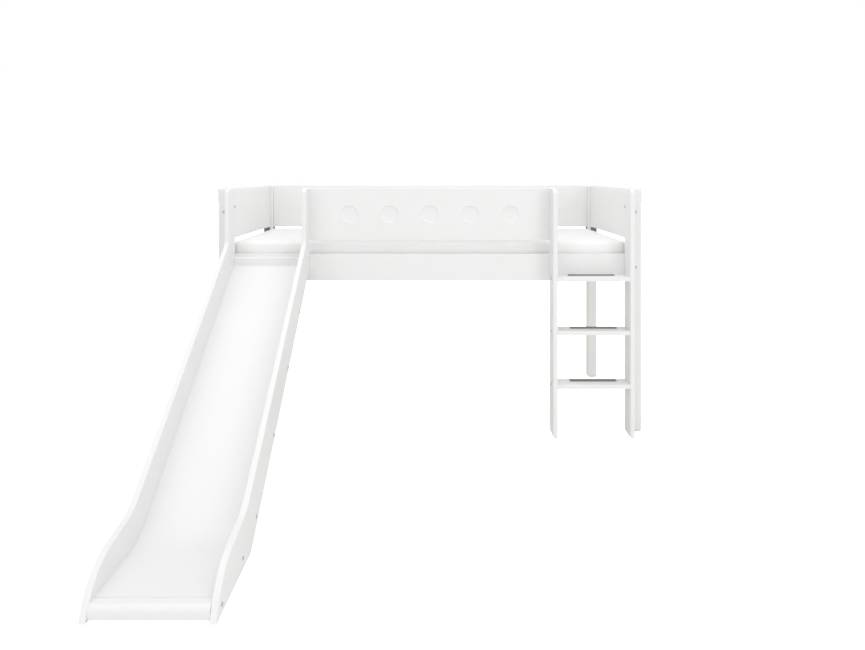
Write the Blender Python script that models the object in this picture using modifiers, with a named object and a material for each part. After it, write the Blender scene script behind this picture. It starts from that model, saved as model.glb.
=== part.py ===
"""Children's mid-high bed with a slide and a ladder, modelled board by board.

Metres, +Z up. +X runs along the bed from the slide to the ladder, and +Y from the slide's
toe to the back of the bed. The origin is on the floor, in the middle of the footprint.
Side profiles are drawn as (forward, height): forward is the distance in front of the plane
of the front posts' faces, and height is above the floor.
"""

import math

import bmesh
import bpy
from mathutils import Matrix, Vector

FIT_GAP = 0.0003  # left between pieces that touch

# Bed frame
MATTRESS_LENGTH = 2.000
MATTRESS_WIDTH = 0.900
MATTRESS_THICKNESS = 0.140
MATTRESS_CLEARANCE = 0.008  # to the boards on each side
MATTRESS_CORNER_RADIUS = 0.045  # in plan, clears the posts' inner corners
MATTRESS_EDGE_RADIUS = 0.018
POST_WIDTH = 0.057
POST_CHAMFER = 0.005
BOARD_THICKNESS = 0.022
BOARD_EDGE_RADIUS = 0.002
RAIL_BOTTOM = 0.746
RAIL_HEIGHT = 0.133
GUARD_GAP = 0.068  # open strip between a rail and the guard above it
GUARD_HEIGHT = 0.259
GLIDE_RADIUS = 0.020
GLIDE_THICKNESS = 0.003

# Slatted base
LEDGE_HEIGHT = 0.0345
LEDGE_THICKNESS = 0.022
SLAT_COUNT = 12
SLAT_WIDTH = 0.090
SLAT_SPACING = 0.165
SLAT_THICKNESS = 0.019
SLAT_END_CLEARANCE = 0.003

# Round dishes in the front guard
DISH_COUNT = 5
DISH_SPACING = 0.2005
DISH_RADIUS = 0.043
DISH_DEPTH = 0.006
DISH_WALL = 0.004  # width and depth of the steep wall round a dish's shallow floor

# Uprights that the ladder and the slide share
UPRIGHT_DEPTH = 0.105
UPRIGHT_CORNER_RADIUS = 0.030
UNIT_WIDTH = 0.394  # over the two side boards of the ladder, and of the slide

# Ladder
STEP_COUNT = 3
TOP_STEP_RISE = 0.031  # of the top step's tread above the rails' bottom edge
STEP_THICKNESS = 0.020
GRIP_LENGTH = 0.228
GRIP_WIDTH = 0.030
GRIP_THICKNESS = 0.0035
GRIP_SETBACK = 0.0175  # from the step's back edge
GRIP_OFF_CENTRE = (0.010, 0.012, 0.001)  # of each strip from its step's middle, along X
FOOT_CHAMFER_WIDTH = 0.006  # along both faces of a ladder side's lower end
FOOT_CHAMFER_HEIGHT = 0.008

# Slide
SLIDE_REACH = 1.4875
CHUTE_THICKNESS = 0.003
CHUTE_START_DROP = 0.0545  # of the chute's upper end below the rail's top edge
CHUTE_LEVEL = 0.045  # height of the run-out
CHUTE_KNEE_SETBACK = 0.3705  # of the knee behind the toe
CHUTE_KNEE_RADIUS = 0.300
GROOVE_DEPTH = 0.006
TOP_BAR_THICKNESS = 0.020
TOP_BAR_HEIGHT = 0.048
TOP_BAR_DROP = 0.013  # of its top edge below the rail's
NOSE_DEPTH = 0.045
NOSE_SETBACK = 0.0125
NOSE_FLOOR_GAP = 0.006
BATTEN_WIDTH = 0.045
BATTEN_THICKNESS = 0.016
SLOPE_BATTENS = 4
BATTEN_FIRST = 0.249
BATTEN_SPACING = 0.264

# Side boards of the slide: vertical distances from the chute's straight run
WALL_RISE_TOP = 0.1715
WALL_RISE_KNEE = 0.1525
WALL_DROP_TOP = 0.0235
WALL_DROP_KNEE = 0.0485
TOE_LEAN = 0.518  # forward per unit of height along the toe's front edge
TOE_SHOULDER_HEIGHT = 0.1228
TOE_SLOPE = 0.163
TOE_RADIUS = 0.180
KNEE_EDGE_RADIUS = 0.200
SHOULDER_RADIUS = 0.040

# Fittings
BOLT_SHANK_RADIUS = 0.0030
BOLT_BORE_RADIUS = 0.0033
BOLT_HEAD_RADIUS = 0.0075
BOLT_HEAD_HEIGHT = 0.0028
BOLT_IN_BOARD = 0.045
HANG_BOLT_IN_POST = 0.030
HANG_BOLT_BELOW_TOP = 0.091
GUARD_BOLT_BELOW_TOP = 0.116
RAIL_BOLT_BELOW_TOP = 0.063
PLATE_THICKNESS = 0.003
PLATE_WIDTH = 0.038
PLATE_END_CLEARANCE = 0.003  # to the boards above and below it

# Places worked out from the sizes above
RAIL_TOP = RAIL_BOTTOM + RAIL_HEIGHT
GUARD_BOTTOM = RAIL_TOP + GUARD_GAP
POST_TOP = GUARD_BOTTOM + GUARD_HEIGHT
BOARD_X = MATTRESS_LENGTH / 2 + MATTRESS_CLEARANCE + BOARD_THICKNESS / 2
BOARD_SPREAD = MATTRESS_WIDTH + 2 * MATTRESS_CLEARANCE + BOARD_THICKNESS
BED_DEPTH = BOARD_SPREAD + POST_WIDTH
FRONT_FACE_Y = (SLIDE_REACH - BED_DEPTH) / 2
FRONT_POST_Y = FRONT_FACE_Y + POST_WIDTH / 2
BACK_POST_Y = FRONT_POST_Y + BOARD_SPREAD
POST_INNER_X = BOARD_X - POST_WIDTH / 2
RECESS = (POST_WIDTH - BOARD_THICKNESS) / 2  # of a board's face behind the post's face
UPRIGHT_BACK = -RECESS + FIT_GAP
UPRIGHT_FRONT = -RECESS + UPRIGHT_DEPTH
UNIT_OUTER_X = POST_INNER_X - FIT_GAP
UNIT_INNER_X = UNIT_OUTER_X - UNIT_WIDTH
UNIT_CENTRE_X = (UNIT_OUTER_X + UNIT_INNER_X) / 2
UNIT_CLEAR_WIDTH = UNIT_WIDTH - 2 * BOARD_THICKNESS
BETWEEN_SIDES = UNIT_CLEAR_WIDTH - 2 * FIT_GAP
STEP_SPACING = (RAIL_BOTTOM + TOP_STEP_RISE) / STEP_COUNT
MATTRESS_BASE = RAIL_BOTTOM + LEDGE_HEIGHT + SLAT_THICKNESS + 2 * FIT_GAP
CHUTE_START = (UPRIGHT_BACK + TOP_BAR_THICKNESS + FIT_GAP, RAIL_TOP - CHUTE_START_DROP)
CHUTE_KNEE = (SLIDE_REACH - CHUTE_KNEE_SETBACK, CHUTE_LEVEL)
CHUTE_SLOPE = (CHUTE_START[1] - CHUTE_KNEE[1]) / (CHUTE_KNEE[0] - CHUTE_START[0])
NOSE_FRONT = SLIDE_REACH - NOSE_SETBACK
NOSE_BACK = NOSE_FRONT - NOSE_DEPTH

SMALL = 0.010  # how far a cutter runs past the face it cuts


def new_collection(name):
    collection = bpy.data.collections.new(name)
    bpy.context.scene.collection.children.link(collection)
    return collection


def new_material(name, colour, roughness, metallic=0.0):
    material = bpy.data.materials.new(name)
    material.use_nodes = True
    shader = material.node_tree.nodes["Principled BSDF"]
    shader.inputs["Base Color"].default_value = (*colour, 1.0)
    shader.inputs["Roughness"].default_value = roughness
    shader.inputs["Metallic"].default_value = metallic
    return material


for old_object in list(bpy.data.objects):
    bpy.data.objects.remove(old_object, do_unlink=True)

PARTS = new_collection("bed_with_slide")
CUTTERS = new_collection("bed_with_slide_cutters")

LACQUER = new_material("white_lacquer", (0.86, 0.86, 0.86), 0.42)
PINE = new_material("pine", (0.74, 0.60, 0.42), 0.60)
COVER = new_material("mattress_cover", (0.90, 0.90, 0.90), 0.90)
STEEL = new_material("zinc_steel", (0.45, 0.46, 0.48), 0.35, 1.0)
GREY_STEEL = new_material("grey_steel", (0.20, 0.21, 0.22), 0.55)
RUBBER = new_material("grip_rubber", (0.22, 0.22, 0.23), 0.85)
GLIDE = new_material("glide_plastic", (0.80, 0.80, 0.80), 0.50)


def forward_y(forward):
    """World Y of a distance in front of the posts' faces."""
    return FRONT_FACE_Y - forward


def file_away(piece, name, material):
    """Name a new object, give it its material and move it to the parts' collection."""
    for collection in list(piece.users_collection):
        collection.objects.unlink(piece)
    PARTS.objects.link(piece)
    piece.name = name
    piece.data.name = name
    piece.data.materials.clear()
    piece.data.materials.append(material)
    return piece


def add_bevel(piece, width, segments):
    bevel = piece.modifiers.new("edges", "BEVEL")
    bevel.width = width
    bevel.segments = segments
    bevel.limit_method = "ANGLE"
    bevel.angle_limit = math.radians(30)
    return bevel


def cut_with(piece, cutter):
    boolean = piece.modifiers.new("cut", "BOOLEAN")
    boolean.operation = "DIFFERENCE"
    boolean.solver = "EXACT"
    boolean.object = cutter


def as_cutter(piece, name):
    for collection in list(piece.users_collection):
        collection.objects.unlink(piece)
    CUTTERS.objects.link(piece)
    piece.name = name
    piece.hide_render = True
    piece.display_type = "WIRE"
    return piece


def board(name, size, centre, material=LACQUER, edge=BOARD_EDGE_RADIUS, segments=2):
    """A sawn and planed board with its edges eased."""
    bpy.ops.mesh.primitive_cube_add(size=1.0, location=centre)
    piece = file_away(bpy.context.object, name, material)
    piece.data.transform(Matrix.Diagonal((*size, 1.0)))
    add_bevel(piece, edge, segments)
    return piece


def rounded_outline(corners, arc_step=math.radians(9)):
    """Points of a closed outline given as (forward, height, corner radius)."""
    points = []
    for index, (forward, height, radius) in enumerate(corners):
        corner = Vector((forward, height))
        if radius <= 0.0:
            points.append(corner)
            continue
        before = (Vector(corners[index - 1][:2]) - corner).normalized()
        after = (Vector(corners[(index + 1) % len(corners)][:2]) - corner).normalized()
        half_angle = before.angle(after) / 2
        turn = math.pi - 2 * half_angle
        tangent = radius / math.tan(half_angle)
        centre = corner + (before + after).normalized() * (radius / math.sin(half_angle))
        start = corner + before * tangent - centre
        sense = 1 if before.x * after.y - before.y * after.x < 0 else -1
        steps = max(2, round(turn / arc_step))
        for step in range(steps + 1):
            angle = sense * turn * step / steps
            cosine, sine = math.cos(angle), math.sin(angle)
            points.append(
                centre
                + Vector((start.x * cosine - start.y * sine, start.x * sine + start.y * cosine))
            )
    return points


def profile_solid(name, outline, width, centre_x, material=LACQUER, edge=0.0):
    """A flat outline in (forward, height), given its width along X."""
    curve = bpy.data.curves.new(name, "CURVE")
    curve.dimensions = "2D"
    curve.fill_mode = "BOTH"
    curve.extrude = width / 2 - edge
    curve.bevel_depth = edge
    curve.bevel_resolution = 0
    curve.offset = -edge
    spline = curve.splines.new("POLY")
    spline.points.add(len(outline) - 1)
    spline.use_cyclic_u = True
    for point, place in zip(spline.points, outline):
        point.co = (place[0], place[1], 0.0, 1.0)
    guide = bpy.data.objects.new(name, curve)
    bpy.context.scene.collection.objects.link(guide)
    bpy.context.view_layer.update()
    evaluated = guide.evaluated_get(bpy.context.evaluated_depsgraph_get())
    mesh = bpy.data.meshes.new_from_object(evaluated)
    bpy.data.objects.remove(guide, do_unlink=True)
    shape = bmesh.new()
    shape.from_mesh(mesh)
    bmesh.ops.remove_doubles(shape, verts=shape.verts, dist=0.00001)
    # forward, height and width become world -Y, Z and X
    turn = Matrix(((0, 0, 1, 0), (-1, 0, 0, 0), (0, 1, 0, 0), (0, 0, 0, 1)))
    bmesh.ops.transform(shape, matrix=turn, verts=shape.verts)
    bmesh.ops.recalc_face_normals(shape, faces=shape.faces)
    shape.to_mesh(mesh)
    shape.free()
    piece = bpy.data.objects.new(name, mesh)
    bpy.context.scene.collection.objects.link(piece)
    piece.location = (centre_x, FRONT_FACE_Y, 0.0)
    return file_away(piece, name, material)


def turned(name, profile, segments, material):
    """A round piece on its own Z axis, from (radius, z) points that run down its outside."""
    mesh = bpy.data.meshes.new(name)
    edges = [(index, index + 1) for index in range(len(profile) - 1)]
    mesh.from_pydata([(radius, 0.0, z) for radius, z in profile], edges, [])
    piece = bpy.data.objects.new(name, mesh)
    bpy.context.scene.collection.objects.link(piece)
    screw = piece.modifiers.new("turn", "SCREW")
    screw.steps = segments
    screw.render_steps = segments
    screw.use_merge_vertices = True
    screw.merge_threshold = 0.00001
    return file_away(piece, name, material)


def point_along(piece, place, direction):
    """Stand a turned piece at a place, with its Z axis along a direction."""
    piece.location = place
    piece.rotation_euler = Vector(direction).to_track_quat("Z", "Y").to_euler()


def bore(name, place, direction, depth):
    """A cutter for a bolt's bore that starts at a face and runs against a direction."""
    bpy.ops.mesh.primitive_cylinder_add(
        vertices=12, radius=BOLT_BORE_RADIUS, depth=depth + SMALL, end_fill_type="NGON"
    )
    cutter = as_cutter(bpy.context.object, name)
    axis = Vector(direction)
    point_along(cutter, Vector(place) + axis * (SMALL - depth) / 2, direction)
    return cutter


def bolt(name, place, direction, length):
    """A domed bolt with the underside of its head at a place, pointing out along a direction."""
    profile = [
        (0.0, BOLT_HEAD_HEIGHT),
        (0.6 * BOLT_HEAD_RADIUS, 0.85 * BOLT_HEAD_HEIGHT),
        (BOLT_HEAD_RADIUS, 0.35 * BOLT_HEAD_HEIGHT),
        (BOLT_HEAD_RADIUS, 0.0),
        (BOLT_SHANK_RADIUS, 0.0),
        (BOLT_SHANK_RADIUS, -length),
        (0.0, -length),
    ]
    piece = turned(name, profile, 16, STEEL)
    point_along(piece, Vector(place) + Vector(direction) * FIT_GAP, direction)
    return piece


# Posts, each standing on its glide
posts = {}
for end, side in (("left", -1), ("right", 1)):
    for row, post_y in (("front", FRONT_POST_Y), ("back", BACK_POST_Y)):
        post_base = GLIDE_THICKNESS + FIT_GAP
        post = board(
            f"post_{row}_{end}",
            (POST_WIDTH, POST_WIDTH, POST_TOP - post_base),
            (side * BOARD_X, post_y, (POST_TOP + post_base) / 2),
            edge=POST_CHAMFER,
            segments=1,
        )
        posts[row, end] = post
        glide_profile = [
            (0.0, GLIDE_THICKNESS),
            (GLIDE_RADIUS, GLIDE_THICKNESS),
            (GLIDE_RADIUS, GLIDE_THICKNESS / 3),
            (GLIDE_RADIUS - GLIDE_THICKNESS / 3, 0.0),
            (0.0, 0.0),
        ]
        glide = turned(f"glide_{row}_{end}", glide_profile, 20, GLIDE)
        glide.location = (side * BOARD_X, post_y, 0.0)

# Rails and guards. Those along the bed run between the posts' inner sides, and those
# across its ends between the posts' facing sides.
LONG_BOARD = 2 * (POST_INNER_X - FIT_GAP)
END_BOARD = BOARD_SPREAD - POST_WIDTH - 2 * FIT_GAP
END_BOARD_Y = (FRONT_POST_Y + BACK_POST_Y) / 2
FRONT_GUARD = 2 * (UNIT_INNER_X + BOARD_THICKNESS)
tiers = (("rail", RAIL_BOTTOM, RAIL_HEIGHT), ("guard", GUARD_BOTTOM, GUARD_HEIGHT))
end_boards = {}
for tier, bottom, height in tiers:
    middle = bottom + height / 2
    front_length = LONG_BOARD if tier == "rail" else FRONT_GUARD
    board(f"{tier}_back", (LONG_BOARD, BOARD_THICKNESS, height), (0, BACK_POST_Y, middle))
    front_board = board(
        f"{tier}_front", (front_length, BOARD_THICKNESS, height), (0, FRONT_POST_Y, middle)
    )
    for end, side in (("left", -1), ("right", 1)):
        end_boards[tier, end] = board(
            f"{tier}_{end}",
            (BOARD_THICKNESS, END_BOARD, height),
            (side * BOARD_X, END_BOARD_Y, middle),
        )

# Shallow round dishes in the front guard, as a row of cutters. Inside its wall, a dish's
# floor is part of a sphere with this radius.
DISH_FLOOR_RADIUS = DISH_RADIUS - DISH_WALL
DISH_FLOOR_SAG = DISH_DEPTH - DISH_WALL
DISH_CURVE = (DISH_FLOOR_RADIUS**2 + DISH_FLOOR_SAG**2) / (2 * DISH_FLOOR_SAG)
DISH_RINGS = 3
dish_profile = [(0.0, SMALL), (DISH_RADIUS, SMALL), (DISH_RADIUS, 0.0)]
for ring in range(DISH_RINGS + 1):
    ring_radius = DISH_FLOOR_RADIUS * (1 - ring / DISH_RINGS)
    ring_sag = math.sqrt(DISH_CURVE**2 - ring_radius**2) - (DISH_CURVE - DISH_FLOOR_SAG)
    dish_profile.append((ring_radius, -DISH_WALL - ring_sag))
for index in range(DISH_COUNT):
    dish = as_cutter(turned(f"dish_{index}", dish_profile, 24, LACQUER), f"dish_{index}")
    dish_x = (index - (DISH_COUNT - 1) / 2) * DISH_SPACING
    dish_place = (dish_x, forward_y(-RECESS), GUARD_BOTTOM + GUARD_HEIGHT / 2)
    point_along(dish, dish_place, (0, -1, 0))
    cut_with(front_board, dish)

# Steel plates on the back posts, in the open strips between rails and guards
for end, side in (("left", -1), ("right", 1)):
    plate_height = GUARD_GAP - 2 * PLATE_END_CLEARANCE
    plate_z = RAIL_TOP + GUARD_GAP / 2
    plate_out = PLATE_THICKNESS / 2 + FIT_GAP
    board(
        f"end_gap_plate_{end}",
        (PLATE_WIDTH, PLATE_THICKNESS, plate_height),
        (
            side * (BOARD_X - BOARD_THICKNESS / 2 + PLATE_WIDTH / 2),
            BACK_POST_Y - POST_WIDTH / 2 - plate_out,
            plate_z,
        ),
        material=GREY_STEEL,
        edge=0.0005,
        segments=1,
    )
    board(
        f"back_gap_plate_{end}",
        (PLATE_THICKNESS, PLATE_WIDTH, plate_height),
        (
            side * (POST_INNER_X - plate_out),
            BACK_POST_Y - BOARD_THICKNESS / 2 + PLATE_WIDTH / 2,
            plate_z,
        ),
        material=GREY_STEEL,
        edge=0.0005,
        segments=1,
    )

# Slatted base: a ledge along each long rail, and slats across them
ledge_reach = BOARD_SPREAD / 2 - BOARD_THICKNESS / 2 - LEDGE_THICKNESS / 2 - FIT_GAP
for row, side in (("front", -1), ("back", 1)):
    board(
        f"slat_ledge_{row}",
        (LONG_BOARD, LEDGE_THICKNESS, LEDGE_HEIGHT),
        (0, END_BOARD_Y + side * ledge_reach, RAIL_BOTTOM + LEDGE_HEIGHT / 2),
        material=PINE,
        segments=1,
    )
slat_length = BOARD_SPREAD - BOARD_THICKNESS - 2 * SLAT_END_CLEARANCE
slat_z = RAIL_BOTTOM + LEDGE_HEIGHT + FIT_GAP + SLAT_THICKNESS / 2
for index in range(SLAT_COUNT):
    board(
        f"slat_{index + 1:02d}",
        (SLAT_WIDTH, slat_length, SLAT_THICKNESS),
        ((index - (SLAT_COUNT - 1) / 2) * SLAT_SPACING, END_BOARD_Y, slat_z),
        material=PINE,
        segments=1,
    )

# Mattress: round corners in plan first, then round edges
bpy.ops.mesh.primitive_cube_add(
    size=1.0, location=(0, END_BOARD_Y, MATTRESS_BASE + MATTRESS_THICKNESS / 2)
)
mattress = file_away(bpy.context.object, "mattress", COVER)
mattress_size = (MATTRESS_LENGTH, MATTRESS_WIDTH, MATTRESS_THICKNESS)
mattress.data.transform(Matrix.Diagonal((*mattress_size, 1.0)))
shape = bmesh.new()
shape.from_mesh(mattress.data)
upright_edges = [
    edge for edge in shape.edges if abs(edge.verts[0].co.z - edge.verts[1].co.z) > SMALL
]
bmesh.ops.bevel(
    shape,
    geom=upright_edges,
    offset=MATTRESS_CORNER_RADIUS,
    segments=5,
    profile=0.5,
    affect="EDGES",
    material=-1,
)
shape.to_mesh(mattress.data)
shape.free()
add_bevel(mattress, MATTRESS_EDGE_RADIUS, 3)

# Ladder: two uprights that reach the floor, three steps and their grip strips
upright_outline = rounded_outline(
    [
        (UPRIGHT_BACK, 0.0, 0.0),
        (UPRIGHT_FRONT, 0.0, 0.0),
        (UPRIGHT_FRONT, POST_TOP, UPRIGHT_CORNER_RADIUS),
        (UPRIGHT_BACK, POST_TOP, 0.0),
    ]
)
uprights = {}
for place, upright_x in (
    ("inner", UNIT_INNER_X + BOARD_THICKNESS / 2),
    ("outer", UNIT_OUTER_X - BOARD_THICKNESS / 2),
):
    uprights["ladder", place] = profile_solid(
        f"ladder_side_{place}",
        upright_outline,
        BOARD_THICKNESS,
        upright_x,
        edge=BOARD_EDGE_RADIUS,
    )
    for side in (-1, 1):
        outward = Vector((side * FOOT_CHAMFER_HEIGHT, 0, -FOOT_CHAMFER_WIDTH)).normalized()
        on_face = Vector((upright_x + side * BOARD_THICKNESS / 2, 0.0, FOOT_CHAMFER_HEIGHT))
        bpy.ops.mesh.primitive_cube_add(size=1.0)
        chamfer = as_cutter(bpy.context.object, f"foot_chamfer_{place}_{side}")
        chamfer.scale = (BOARD_THICKNESS, 2 * UPRIGHT_DEPTH, 2 * BOARD_THICKNESS)
        chamfer.rotation_euler.y = math.atan2(-outward.z, outward.x)
        chamfer.location = on_face + outward * BOARD_THICKNESS / 2
        chamfer.location.y = forward_y((UPRIGHT_FRONT + UPRIGHT_BACK) / 2)
        cut_with(uprights["ladder", place], chamfer)
step_depth = UPRIGHT_FRONT - UPRIGHT_BACK
step_y = forward_y((UPRIGHT_FRONT + UPRIGHT_BACK) / 2)
for index in range(STEP_COUNT):
    step_top = (index + 1) * STEP_SPACING
    board(
        f"ladder_step_{index + 1}",
        (BETWEEN_SIDES, step_depth, STEP_THICKNESS),
        (UNIT_CENTRE_X, step_y, step_top - STEP_THICKNESS / 2),
        edge=0.003,
    )
    board(
        f"step_grip_{index + 1}",
        (GRIP_LENGTH, GRIP_WIDTH, GRIP_THICKNESS),
        (
            UNIT_CENTRE_X + GRIP_OFF_CENTRE[index],
            forward_y(UPRIGHT_BACK + GRIP_SETBACK + GRIP_WIDTH / 2),
            step_top + FIT_GAP + GRIP_THICKNESS / 2,
        ),
        material=RUBBER,
        edge=0.001,
        segments=1,
    )


def chute_line(forward):
    """Height of the chute's straight run, produced both ways."""
    return CHUTE_START[1] - CHUTE_SLOPE * (forward - CHUTE_START[0])


def wall_share(forward):
    """How far along the straight run, from 0 at its upper end to 1 at the knee."""
    return (forward - CHUTE_START[0]) / (CHUTE_KNEE[0] - CHUTE_START[0])


def wall_top(forward):
    share = wall_share(forward)
    return chute_line(forward) + WALL_RISE_TOP * (1 - share) + WALL_RISE_KNEE * share


def wall_bottom(forward):
    share = wall_share(forward)
    return chute_line(forward) - WALL_DROP_TOP * (1 - share) - WALL_DROP_KNEE * share


def crossing(first, first_slope, second, second_slope):
    """Where two lines meet, each given by a point and its height per unit forward."""
    forward = (
        second[1] - first[1] + first_slope * first[0] - second_slope * second[0]
    ) / (first_slope - second_slope)
    return forward, first[1] + first_slope * (forward - first[0])


# Slide's side boards
knee_forward = CHUTE_KNEE[0]
bottom_slope = (wall_bottom(knee_forward) - wall_bottom(0.0)) / knee_forward
top_slope = (wall_top(knee_forward) - wall_top(0.0)) / knee_forward
heel = crossing((0.0, wall_bottom(0.0)), bottom_slope, (0.0, 0.0), 0.0)
toe_shoulder = (SLIDE_REACH - TOE_LEAN * TOE_SHOULDER_HEIGHT, TOE_SHOULDER_HEIGHT)
wall_knee = crossing((0.0, wall_top(0.0)), top_slope, toe_shoulder, -TOE_SLOPE)
wall_outline = rounded_outline(
    [
        (UPRIGHT_BACK, wall_bottom(UPRIGHT_BACK), 0.0),
        (*heel, 0.0),
        (SLIDE_REACH, 0.0, 0.0),
        (*toe_shoulder, TOE_RADIUS),
        (*wall_knee, KNEE_EDGE_RADIUS),
        (UPRIGHT_FRONT, wall_top(UPRIGHT_FRONT), SHOULDER_RADIUS),
        (UPRIGHT_FRONT, POST_TOP, UPRIGHT_CORNER_RADIUS),
        (UPRIGHT_BACK, POST_TOP, 0.0),
    ]
)


def chute_outline(clearance):
    """The chute's section, grown by a clearance on every side."""
    slope_angle = math.atan(CHUTE_SLOPE)
    upper = CHUTE_START[0] - clearance
    lower_end = NOSE_BACK - FIT_GAP + clearance
    over = clearance / math.cos(slope_angle)
    under = (CHUTE_THICKNESS + clearance) / math.cos(slope_angle)
    level_over = CHUTE_LEVEL + clearance
    level_under = CHUTE_LEVEL - CHUTE_THICKNESS - clearance
    top_start = (upper, chute_line(upper) + over)
    bottom_start = (upper, chute_line(upper) - under)
    top_knee = crossing(top_start, -CHUTE_SLOPE, (0.0, level_over), 0.0)
    bottom_knee = crossing(bottom_start, -CHUTE_SLOPE, (0.0, level_under), 0.0)
    return rounded_outline(
        [
            (*bottom_start, 0.0),
            (*bottom_knee, CHUTE_KNEE_RADIUS + CHUTE_THICKNESS + clearance),
            (lower_end, level_under, 0.0),
            (lower_end, level_over, 0.0),
            (*top_knee, CHUTE_KNEE_RADIUS - clearance),
            (*top_start, 0.0),
        ],
        arc_step=math.radians(4.5),
    )


SLIDE_X = -UNIT_CENTRE_X
groove_width = UNIT_CLEAR_WIDTH + 2 * GROOVE_DEPTH
groove = as_cutter(
    profile_solid("chute_groove", chute_outline(FIT_GAP), groove_width, SLIDE_X), "chute_groove"
)
for place, wall_x in (
    ("inner", -(UNIT_INNER_X + BOARD_THICKNESS / 2)),
    ("outer", -(UNIT_OUTER_X - BOARD_THICKNESS / 2)),
):
    wall = profile_solid(
        f"slide_side_{place}", wall_outline, BOARD_THICKNESS, wall_x, edge=BOARD_EDGE_RADIUS
    )
    cut_with(wall, groove)
    uprights["slide", place] = wall
profile_solid("slide_chute", chute_outline(0.0), groove_width - 2 * FIT_GAP, SLIDE_X)

# Slide's cross pieces: the bar at the top, battens under the chute and the rounded nose
bar_top = RAIL_TOP - TOP_BAR_DROP
bar_front = UPRIGHT_BACK + TOP_BAR_THICKNESS
bar_outline = rounded_outline(
    [
        (UPRIGHT_BACK, bar_top - TOP_BAR_HEIGHT, 0.0),
        (bar_front, bar_top - TOP_BAR_HEIGHT, 0.0),
        (bar_front, bar_top, 0.4 * TOP_BAR_THICKNESS),
        (UPRIGHT_BACK, bar_top, 0.1 * TOP_BAR_THICKNESS),
    ],
    arc_step=math.radians(15),
)
profile_solid("slide_top_bar", bar_outline, BETWEEN_SIDES, SLIDE_X)
nose_outline = rounded_outline(
    [
        (NOSE_BACK, NOSE_FLOOR_GAP, 0.1 * NOSE_DEPTH),
        (NOSE_FRONT, NOSE_FLOOR_GAP, 0.1 * NOSE_DEPTH),
        (NOSE_FRONT, CHUTE_LEVEL, 0.4 * NOSE_DEPTH),
        (NOSE_BACK, CHUTE_LEVEL, 0.05 * NOSE_DEPTH),
    ],
    arc_step=math.radians(15),
)
profile_solid("slide_nose", nose_outline, BETWEEN_SIDES, SLIDE_X)
slope_angle = math.atan(CHUTE_SLOPE)
batten_depth = CHUTE_THICKNESS + FIT_GAP + BATTEN_THICKNESS / 2
for index in range(SLOPE_BATTENS):
    forward = BATTEN_FIRST + index * BATTEN_SPACING
    batten = board(
        f"slide_batten_{index + 1}",
        (BETWEEN_SIDES, BATTEN_WIDTH, BATTEN_THICKNESS),
        (SLIDE_X, forward_y(forward), chute_line(forward) - batten_depth / math.cos(slope_angle)),
        segments=1,
    )
    batten.rotation_euler.x = slope_angle
knee_end = CHUTE_KNEE[0] + CHUTE_KNEE_RADIUS * math.tan(slope_angle / 2)
board(
    f"slide_batten_{SLOPE_BATTENS + 1}",
    (BETWEEN_SIDES, BATTEN_WIDTH, BATTEN_THICKNESS),
    (SLIDE_X, forward_y(knee_end), CHUTE_LEVEL - batten_depth),
    segments=1,
)

# Bolts that hold the end boards to the front posts
for end, side in (("left", -1), ("right", 1)):
    for tier, drop, top in (
        ("guard", GUARD_BOLT_BELOW_TOP, POST_TOP),
        ("rail", RAIL_BOLT_BELOW_TOP, RAIL_TOP),
    ):
        head_place = (side * BOARD_X, FRONT_FACE_Y, top - drop)
        bolt(f"post_bolt_{tier}_{end}", head_place, (0, -1, 0), POST_WIDTH + BOLT_IN_BOARD)
        drill = bore(
            f"post_bore_{tier}_{end}", head_place, (0, -1, 0), POST_WIDTH + BOLT_IN_BOARD + 0.001
        )
        cut_with(posts["front", end], drill)
        cut_with(end_boards[tier, end], drill)

# Bolts that hold the outer uprights sideways to the front posts, halfway along the overlap
for end, side, unit in (("left", -1, "slide"), ("right", 1, "ladder")):
    inner_face = UNIT_OUTER_X - BOARD_THICKNESS
    head_place = (side * inner_face, forward_y(-RECESS / 2), POST_TOP - HANG_BOLT_BELOW_TOP)
    length = BOARD_THICKNESS + HANG_BOLT_IN_POST
    bolt(f"hang_bolt_{end}", head_place, (-side, 0, 0), length)
    drill = bore(f"hang_bore_{end}", head_place, (-side, 0, 0), length + 0.001)
    cut_with(posts["front", end], drill)
    cut_with(uprights[unit, "outer"], drill)
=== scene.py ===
"""Children's mid-high bed with a slide and a ladder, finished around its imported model.

Metres, +Z up. +X runs along the bed from the slide to the ladder, and +Y from the slide's
toe to the back of the bed. The bed stands on the floor at Z = 0.
"""

import math

import bmesh
import bpy
from mathutils import Matrix, Vector


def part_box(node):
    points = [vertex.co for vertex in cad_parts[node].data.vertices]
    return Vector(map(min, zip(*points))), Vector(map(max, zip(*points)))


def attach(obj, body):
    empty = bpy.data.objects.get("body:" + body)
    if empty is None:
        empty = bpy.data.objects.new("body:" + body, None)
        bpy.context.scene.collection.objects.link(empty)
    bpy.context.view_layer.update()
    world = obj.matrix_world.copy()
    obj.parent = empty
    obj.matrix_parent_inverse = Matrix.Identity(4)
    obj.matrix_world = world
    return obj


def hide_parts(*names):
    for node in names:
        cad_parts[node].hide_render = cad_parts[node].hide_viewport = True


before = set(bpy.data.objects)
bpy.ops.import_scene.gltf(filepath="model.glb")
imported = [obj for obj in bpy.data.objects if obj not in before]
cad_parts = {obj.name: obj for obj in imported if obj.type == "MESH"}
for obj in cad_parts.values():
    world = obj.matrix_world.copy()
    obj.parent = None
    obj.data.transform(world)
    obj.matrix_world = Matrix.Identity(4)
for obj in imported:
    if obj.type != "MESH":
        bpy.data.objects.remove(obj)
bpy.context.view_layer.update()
scene = bpy.context.scene


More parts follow.
